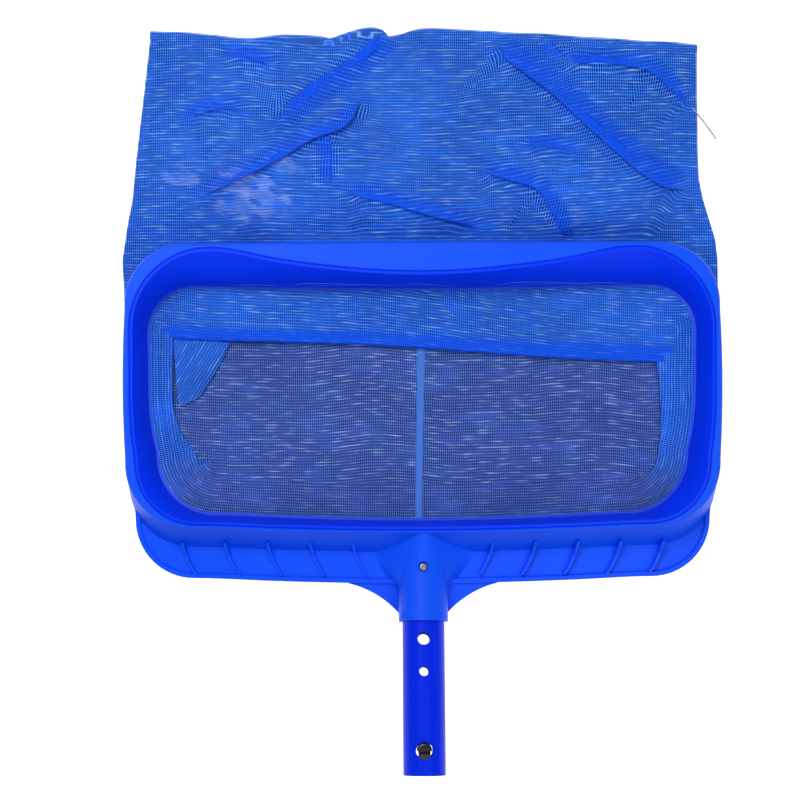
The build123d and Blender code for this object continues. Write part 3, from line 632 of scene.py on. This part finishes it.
def frontPanel():
    columns = panel["columns"]
    across = np.linspace(-1, 1, columns + 1)[None, :]
    half, crowding = mouth["side"] - mouth["inset"] - panel["edgeGap"], panel["crowding"]
    mouthX = half * (np.sin(across * math.pi / 2 * 0.999) * crowding + across * (1 - crowding))
    edgeY = topEdge(mouthX)
    foldY = np.minimum(np.interp(mouthX, *route(panel["foldLine"]).T), edgeY - panel["shortestFlap"])
    # flap: from the seat down into the mouth
    t = np.linspace(0, 1, panel["flapRows"])[:, None]
    flapX = mouthX + 0 * t
    flapY = edgeY + (foldY + panel["foldRound"] - edgeY) * t
    drop = mouth["seatHeight"] - panel["foldHeight"]
    fall = smooth(t * panel["bend"]) / smooth(panel["bend"])
    flapZ = mouth["seatHeight"] - drop * fall + ripple(flapX, flapY, flapWrinkles) * np.sin(math.pi * t)
    # rounded fold, then back out under the lip
    turn = np.radians(np.linspace(0, 180, panel["foldRows"] + 2))[1:-1, None]
    foldX = mouthX + 0 * turn
    foldYs = foldY + panel["foldRound"] * (1 - np.sin(turn))
    middleZ = (panel["foldHeight"] + panel["returnHeight"]) / 2
    foldZs = middleZ + (panel["foldHeight"] - middleZ) * np.cos(turn) + 0 * foldX
    back = np.linspace(0, 1, panel["returnRows"] + 1)[1:, None]
    lipLeft, lipRight = bagSides(bag["lipLine"])
    lipX = lipLeft + (lipRight - lipLeft) * (across + 1) / 2
    returnX = mouthX + (lipX - mouthX) * smooth(back)
    returnY = foldY + panel["foldRound"] + (bag["lipLine"] - foldY - panel["foldRound"]) * back
    returnZ = panel["returnHeight"] + (bag["underLip"] - panel["returnHeight"]) * back + 0 * mouthX
    # the bag behind the frame
    along = np.linspace(0, 1, panel["bagRows"] + 1)[1:, None]
    guessY = bag["lipLine"] + (bag["endNear"] - bag["lipLine"]) * along
    left, right = bagSides(guessY)
    bagX = left + (right - left) * (across + 1) / 2
    bagY = bag["lipLine"] + (bagEnd(bagX) - bag["lipLine"]) * along
    left, right = bagSides(bagY)
    bagX = left + (right - left) * (across + 1) / 2
    sideGap = np.minimum(bagX - left, right - bagX)
    endGap = bagEnd(bagX) - bagY
    keep = smooth(sideGap / panel["sideCalm"]) * between(bagY, *panel["calm"])
    keep = keep * (0.25 + 0.75 * smooth(endGap / panel["endCalm"]))
    rise = (smooth(np.sqrt(np.clip(sideGap / bag["edgeRoll"], 0, 1)))
            * smooth(np.sqrt(np.clip(endGap / bag["endRoll"], 0, 1))))
    behindLip = between(bagY, *panel["behindLip"])
    base = bag["seam"] + (bag["underLip"] - bag["seam"]) * rise + behindLip * rise * bag["puff"]
    bagZ = base + ripple(bagX, bagY, wrinkles) * rise * (0.35 + 0.65 * behindLip)
    moveX, moveY, slackX, slackY, coverAndFoldShade = (np.zeros(bagX.shape) for _ in range(5))
    for pleat in pleats:
        dx, dy, dz, su, sv, laid = layPleat(bagX, bagY, pleat, keep)
        moveX, moveY, bagZ = moveX + dx, moveY + dy, bagZ + dz
        slackX, slackY, coverAndFoldShade = slackX + su, slackY + sv, np.maximum(coverAndFoldShade, laid)
    x = np.vstack([flapX, foldX, returnX, bagX + moveX])
    y = np.vstack([flapY, foldYs, returnY, bagY + moveY])
    z = np.vstack([flapZ, foldZs, returnZ, bagZ])
    # cloth lengths along the panel: by distance in the mouth, by place in the bag
    headY, headZ = np.vstack([flapY, foldYs, returnY]), np.vstack([flapZ, foldZs, returnZ])
    steps = np.hypot(np.diff(headY, axis=0), np.diff(headZ, axis=0))
    runs = np.vstack([np.zeros((1, columns + 1)), np.cumsum(steps, axis=0)])
    u = np.vstack([flapX, foldX, returnX, bagX + slackX])
    v = np.vstack([runs - runs[-1:], bagY - bag["lipLine"] + slackY])
    hemStart, hemFull, hemShare = panel["hem"]
    hemmed = np.vstack([hemShare * between(t, hemStart, hemFull) + 0 * flapX, np.ones(foldX.shape),
                        np.zeros(returnX.shape)])
    # the fold attribute holds the layered cloth and the painted fold shade
    fold = np.vstack([hemmed, coverAndFoldShade])
    return clothMesh("frontNet", x, y, z, u, v, overMesh, {"fold": fold})


frontNet = frontPanel()
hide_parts("net_front_panel")
print("stage 4: front panel of the bag")


# ---- back panel, flat on the floor

back = {"columns": 230, "bagRows": 110, "mouthRows": 90, "mouthSide": 183.0, "mouthEnd": -70.0,
        "height": 1.25, "lowest": 0.35, "highest": 4, "endGap": 1.0, "sideGap": 0.8,
        "crease": [(-98, 41), (-101, 33), (-105, 25)], "creaseRise": 1.3, "creaseWidth": 2.2}
# pale patches: middle, half length and half width, and turn in degrees
thinPlaces = [(-118, 149, 34, 15, -28), (-170, 158, 17, 8, -10), (-126, 135, 26, 10, -8),
              (-96, 168, 18, 7, -20)]
thinRipple = [(11, 80, 0, 0.35), (17, 10, 1, 0.3), (7, 45, 2, 0.2)]
backWrinkles = [(53, 83, 0.2, 0.3), (29, 95, 1.1, 0.22), (71, 12, 0.6, 0.3), (17, 88, 2.2, 0.1)]
backWrinkleShare = 0.8


def backPanel():
    across = np.linspace(-1, 1, back["columns"] + 1)[None, :]
    along = np.linspace(1, 0, back["bagRows"] + 1)[:, None]
    guessY = bag["lipLine"] + (bag["endNear"] - bag["lipLine"]) * along
    left, right = bagSides(guessY)
    x = left + (right - left) * (across + 1) / 2
    y = bag["lipLine"] + (bagEnd(x) - back["endGap"] - bag["lipLine"]) * along
    left, right = bagSides(y)
    x = (left + back["sideGap"]) + (right - left - 2 * back["sideGap"]) * (across + 1) / 2
    down = np.linspace(0, 1, back["mouthRows"] + 1)[1:, None]
    mouthY = bag["lipLine"] + (back["mouthEnd"] - bag["lipLine"]) * down + 0 * across
    lipLeft, lipRight = bagSides(bag["lipLine"])
    wide = between(mouthY, 35, bag["lipLine"])
    corner = 1 - 0.09 * between(mouthY, -35, back["mouthEnd"])
    mouthLeft = -back["mouthSide"] * corner + (lipLeft + back["mouthSide"]) * wide
    mouthRight = back["mouthSide"] * corner + (lipRight - back["mouthSide"]) * wide
    mouthX = mouthLeft + (mouthRight - mouthLeft) * (across + 1) / 2
    x, y = np.vstack([x, mouthX]), np.vstack([y, mouthY])
    z = back["height"] + ripple(x, y, backWrinkles) * backWrinkleShare
    signed, share, _, _ = nearRoute(x, y, route(back["crease"]))
    hold = smooth(share / 0.1) * smooth((1 - share) / 0.6) * (np.abs(signed) < 8)
    z = z + back["creaseRise"] * np.exp(-(signed / back["creaseWidth"]) ** 2) * hold
    z = np.clip(z, back["lowest"], back["highest"])
    thin = np.zeros(x.shape)
    for cx, cy, long, wideSpot, turn in thinPlaces:
        c, s = math.cos(math.radians(turn)), math.sin(math.radians(turn))
        dx, dy = x - cx, y - cy
        reach = np.hypot((dx * c + dy * s) / long, (-dx * s + dy * c) / wideSpot)
        thin = np.maximum(thin, between(reach, 1.1, 0.5))
    thin = thin * np.clip(0.75 + ripple(x, y, thinRipple), 0, 1)
    u = x + ripple(x, y, [(90, 60, 0, 0.6)])
    v = y + ripple(x, y, [(140, 8, 0, 1.5), (75, 15, 1.3, 0.6)])
    return clothMesh("backNet", x, y, z, u, v, underMesh, {"thin": thin})


backNet = backPanel()
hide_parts("net_back_panel")


# ---- side and bottom walls of the bag's mouth, from the ring down to the back panel

collar = {
    "columns": 460, "rows": 24, "startY": 60.0,
    # share of the run round the mouth: how far in the wall reaches, and the height of its inner edge
    "reach": [(0.0, 17), (0.05, 15.5), (0.10, 15), (0.135, 18), (0.165, 25), (0.19, 32), (0.212, 36),
              (0.25, 30), (0.30, 25), (0.70, 25), (0.745, 24), (0.79, 20), (0.84, 19), (0.87, 21),
              (0.955, 25.5), (1.0, 28)],
    "edge": [(0.0, 6.4), (0.06, 6.0), (0.13, 5.4), (0.175, 4.2), (0.21, 1.8), (0.25, 1.4), (0.36, 1.3),
             (0.64, 1.3), (0.745, 1.4), (0.79, 2.6), (0.83, 4.6), (0.9, 5.6), (1.0, 6.2)],
    "underTurn": [(0.0, 3), (0.165, 3), (0.215, 0.4), (0.76, 0.4), (0.81, 3), (1.0, 3)],
    "side": (0.27, 0.35), "shaded": (0.25, 0.37),  # shares from the middle of the run
    "foldHeight": 0.55, "foldCount": 2.5, "roll": 0.9, "lowest": 0.5,
}


def sideWalls():
    begin = np.interp(-collar["startY"], -rimLine[topEnd:leftEnd, 1], rimLength[topEnd:leftEnd])
    total = rimLength[-1]
    runs = np.linspace(begin, total - begin, collar["columns"] + 1)
    share = (runs - begin) / (total - 2 * begin)
    x0 = np.interp(runs, rimLength, rimLine[:, 0])
    y0 = np.interp(runs, rimLength, rimLine[:, 1])
    step = 0.5
    tx, ty = (np.interp(runs + step, rimLength, axis) - np.interp(runs - step, rimLength, axis)
              for axis in rimLine.T)
    size = np.hypot(tx, ty)
    inX, inY = -ty / size, tx / size
    kernel = np.hanning(21) / np.hanning(21).sum()
    inX, inY = (np.convolve(np.pad(a, 10, mode="edge"), kernel, "valid") for a in (inX, inY))
    reach = np.interp(share, *route(collar["reach"]).T)
    edge = np.interp(share, *route(collar["edge"]).T)
    under = np.interp(share, *np.array(collar["underTurn"]).T)
    w = np.linspace(0, 1, collar["rows"])[:, None]
    sideness = between(np.abs(share - 0.5), *collar["side"])
    fall = w * (1 - sideness) + sideness * smooth(w) ** 1.2
    height = mouth["seatHeight"] + (edge - mouth["seatHeight"]) * (1 - (1 - fall) ** (1.6 - 0.5 * sideness))
    folds = np.sin(w * 2 * math.pi * collar["foldCount"] + 0.7 * np.sin(share * 37) + share * 9)
    height = height + folds * collar["foldHeight"] * np.sin(math.pi * w) ** 0.7 * sideness
    x = x0 + inX * reach * w
    y = y0 + inY * reach * w
    turn = np.radians(np.array([40, 80, 120, 150, 180]))[:, None]
    roll = np.minimum(collar["roll"], under / 2)
    tuck = np.vstack([roll * np.sin(turn[:4]), -under[None, :]])
    drop = np.vstack([roll * (1 - np.cos(turn[:4])), 2.0 * roll[None, :]])
    x = np.vstack([x, x[-1:] + inX * tuck])
    y = np.vstack([y, y[-1:] + inY * tuck])
    z = np.vstack([height, np.maximum(height[-1:] - drop, collar["lowest"])])
    stepRun = np.hypot(np.hypot(np.diff(x, axis=0), np.diff(y, axis=0)), np.diff(z, axis=0))
    v = np.vstack([np.zeros((1, x.shape[1])), np.cumsum(stepRun, axis=0)])
    u = runs[None, :] + 0 * v
    shade = 1 - between(np.abs(share[None, :] - 0.5 + 0 * v), *collar["shaded"])
    return clothMesh("mouthWalls", x[::-1], y[::-1], z[::-1], u[::-1], v[::-1], wallMesh,
                     {"shade": shade})


mouthWalls = sideWalls()

tuckPlace = {"corners": [(-176, 47), (-136, 41), (-158.5, 2), (-172, -4)], "columns": 40, "rows": 40,
             "height": 3.4, "lift": 1.2, "bulge": 1.2, "roll": 0.8, "turnUnder": 4.0, "weaveTurn": 58}


def cornerTuck():
    # loose corner of the bag folded down between the flap and the left wall
    a, b, c, d = (np.array(p, float) for p in tuckPlace["corners"])
    s = np.linspace(0, 1, tuckPlace["columns"] + 1)[None, :]
    t = np.linspace(0, 1, tuckPlace["rows"] + 1)[:, None]
    x, y = ((1 - t) * ((1 - s) * a[i] + s * b[i]) + t * ((1 - s) * d[i] + s * c[i]) for i in (0, 1))
    x = x + tuckPlace["bulge"] * np.sin(math.pi * t) * s
    z = tuckPlace["height"] + tuckPlace["lift"] * s ** 2 * (1 - 0.5 * t)
    z = z + 0.35 * np.sin(s * 14 + t * 3) * (1 - s)
    turn = np.radians(np.array([30, 70, 110, 150, 180]))
    edgeX, edgeY, edgeZ = x[:, -1:], y[:, -1:], z[:, -1:]
    roll = tuckPlace["roll"]
    x = np.hstack([x, edgeX + roll * np.sin(turn)[None, :] - tuckPlace["turnUnder"] * (turn > 3)[None, :]])
    y = np.hstack([y, edgeY + 0 * turn[None, :]])
    z = np.hstack([z, edgeZ - roll * (1 - np.cos(turn))[None, :]])
    angle = math.radians(tuckPlace["weaveTurn"])
    u = x * math.cos(angle) + y * math.sin(angle)
    v = -x * math.sin(angle) + y * math.cos(angle)
    return clothMesh("cornerTuck", x[::-1], y[::-1], z[::-1], u[::-1], v[::-1], overMesh)


cornerFold = cornerTuck()
print("stage 5: back panel and walls")


# ---- tape, sewn edges and loose threads

def strip(name, line, width, height, material, columns=6):
    # a narrow band of cloth along a line, at the given heights
    line = np.array(line, float)
    ahead = np.gradient(line, axis=0)
    ahead /= np.hypot(*ahead.T)[:, None]
    sideways = np.linspace(-width / 2, width / 2, columns + 1)[None, :]
    x = line[:, :1] - ahead[:, 1:] * sideways
    y = line[:, 1:] + ahead[:, :1] * sideways
    run = lengthAlong(line)[:, None]
    return clothMesh(name, x, y, height[:, None] + 0 * x, sideways + 0 * x, run + 0 * x, material)


def flatStrip(name, points, width, height, material):
    line = route(points, 24)
    wave = 0.25 * np.sin(lengthAlong(line) / 9)
    return strip(name, line, width, height + wave, material)


tapeSetting = {"width": 5.0, "gap": 0.5, "climbFrom": -84.1, "climbRun": 25, "foot": 1.3,
               "line": [(-0.4, 252), (-2.6, 170), (-1.6, 100), (-0.6, 35), (-2.4, -59), (-2.6, -83.6)]}


def centreTape():
    line = route(tapeSetting["line"], 40)
    x, y = line.T
    floorHeight = np.clip(back["height"] + backWrinkleShare * ripple(x, y, backWrinkles),
                          back["lowest"], back["highest"])
    climb = np.clip((y - tapeSetting["climbFrom"]) / tapeSetting["climbRun"], 0, 1)
    slope = mouth["seatHeight"] + (tapeSetting["foot"] - mouth["seatHeight"]) * (1 - (1 - climb) ** 1.6)
    height = np.maximum(floorHeight, slope) + tapeSetting["gap"]
    return strip("centreTape", line, tapeSetting["width"], height, tapeCloth)


tape = centreTape()
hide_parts("centre_seam_tape")

seamInset, seamHeight = 3.4, 1.95
leftLine = [(x + seamInset, y) for y, x in bag["left"][:-1]]
rightLine = [(x - seamInset, y) for y, x in bag["right"][:-1]]
endLine = [(x, y - seamInset) for x, y in bag["end"]]
seams = {
    "left_side_seam": flatStrip("leftSeam", leftLine, 5.6, seamHeight, seamCloth),
    "right_side_seam": flatStrip("rightSeam", rightLine, 5.6, seamHeight, seamCloth),
    "end_seam": flatStrip("endSeam", endLine, 5.0, seamHeight, seamCloth),
}
for node, seam in seams.items():
    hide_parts(node)

# frayed ends of mesh thread that stick up over the top edge of the mouth
frayedThread = {"radius": 0.22, "lift": 0.5, "start": 100, "missed": 11.5}
frayed = [
    [(-156, 78.9), (-140, 80.3), (-120, 80.7), (-100, 80.2)],
    [(-146, 79.4), (-128, 79.9), (-108, 79.4)],
    [(-92, 79.1), (-84, 81.0), (-60, 80.8), (-36, 80.1), (-18, 79.6)],
    [(-88, 78.9), (-70, 80.0), (-44, 79.9)],
    [(-16, 79.4), (-4, 80.4), (10, 79.7), (22, 79.0)],
    [(50, 79.1), (66, 81.2), (92, 81.3), (118, 80.6)],
    [(58, 78.9), (80, 80.3), (110, 80.4), (134, 79.7)],
    [(96, 79.4), (120, 81.2), (146, 80.7), (160, 79.5)],
]


def frayedThreads():
    ring = nodes["retaining_ring"]
    data = bpy.data.curves.new("frayedThreads", "CURVE")
    data.dimensions = "3D"
    data.bevel_depth = frayedThread["radius"] * mm
    data.bevel_resolution = 1
    for points in frayed:
        line = route(points, 8)
        spline = data.splines.new("POLY")
        spline.points.add(len(line) - 1)
        for point, (x, y) in zip(spline.points, line):
            above = Vector((x, y, frayedThread["start"])) * mm
            hit, place, _, _ = ring.ray_cast(above, Vector((0, 0, -1)))
            height = place.z + frayedThread["lift"] * mm if hit else frayedThread["missed"] * mm
            point.co = (x * mm, y * mm, height, 1)
    obj = bpy.data.objects.new("frayedThreads", data)
    bpy.context.scene.collection.objects.link(obj)
    bpy.ops.object.select_all(action="DESELECT")
    obj.select_set(True)
    bpy.context.view_layer.objects.active = obj
    bpy.ops.object.convert(target="MESH")
    wear(bpy.context.object, seamCloth)
    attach(bpy.context.object, "net_head")
    return bpy.context.object


threads = frayedThreads()
print("stage 6: tape, sewn edges and threads")


# ---- loose end of nylon line

looseEnd = {
    "diameter": 1.2, "length": 75.9,
    "points": [(155.5, 236.59, 7.0), (172.0, 225.09, 5.4), (187.0, 211.09, 4.2), (199.5, 197.39, 3.2),
               (209.3, 184.09, 1.2)],
}


def clearNylon():
    # Extruded nylon monofilament: greyish, half clear, smooth
    material, tree, shader = newMaterial("nylonMonofilament")
    place = addNode(tree, "TexCoord").outputs["Object"]
    cloud = addNode(tree, "TexNoise", {"Vector": place, "Scale": 1 / 0.004, "Detail": 2.0})
    tinted(tree, shader, cloud.outputs["Fac"], "8d8a90", "b9b5b8")
    shader.inputs["Roughness"].default_value = 0.25
    shader.inputs["IOR"].default_value = 1.53
    shader.inputs["Transmission Weight"].default_value = 0.2
    return material


def looseLine():
    data = bpy.data.curves.new("looseLine", "CURVE")
    data.dimensions = "3D"
    data.bevel_depth = looseEnd["diameter"] / 2 * mm
    data.bevel_resolution = 3
    data.resolution_u = 16
    data.use_fill_caps = True
    spline = data.splines.new("NURBS")
    spline.points.add(len(looseEnd["points"]) - 1)
    for point, (x, y, z) in zip(spline.points, looseEnd["points"]):
        point.co = (x * mm, y * mm, z * mm, 1)
    spline.order_u = 3
    spline.use_endpoint_u = True
    line = bpy.data.objects.new("looseLine", data)
    bpy.context.scene.collection.objects.link(line)
    line.data.materials.append(clearNylon())
    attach(line, "net_head")
    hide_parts("loose_line")


looseLine()
print("stage 7: loose line")
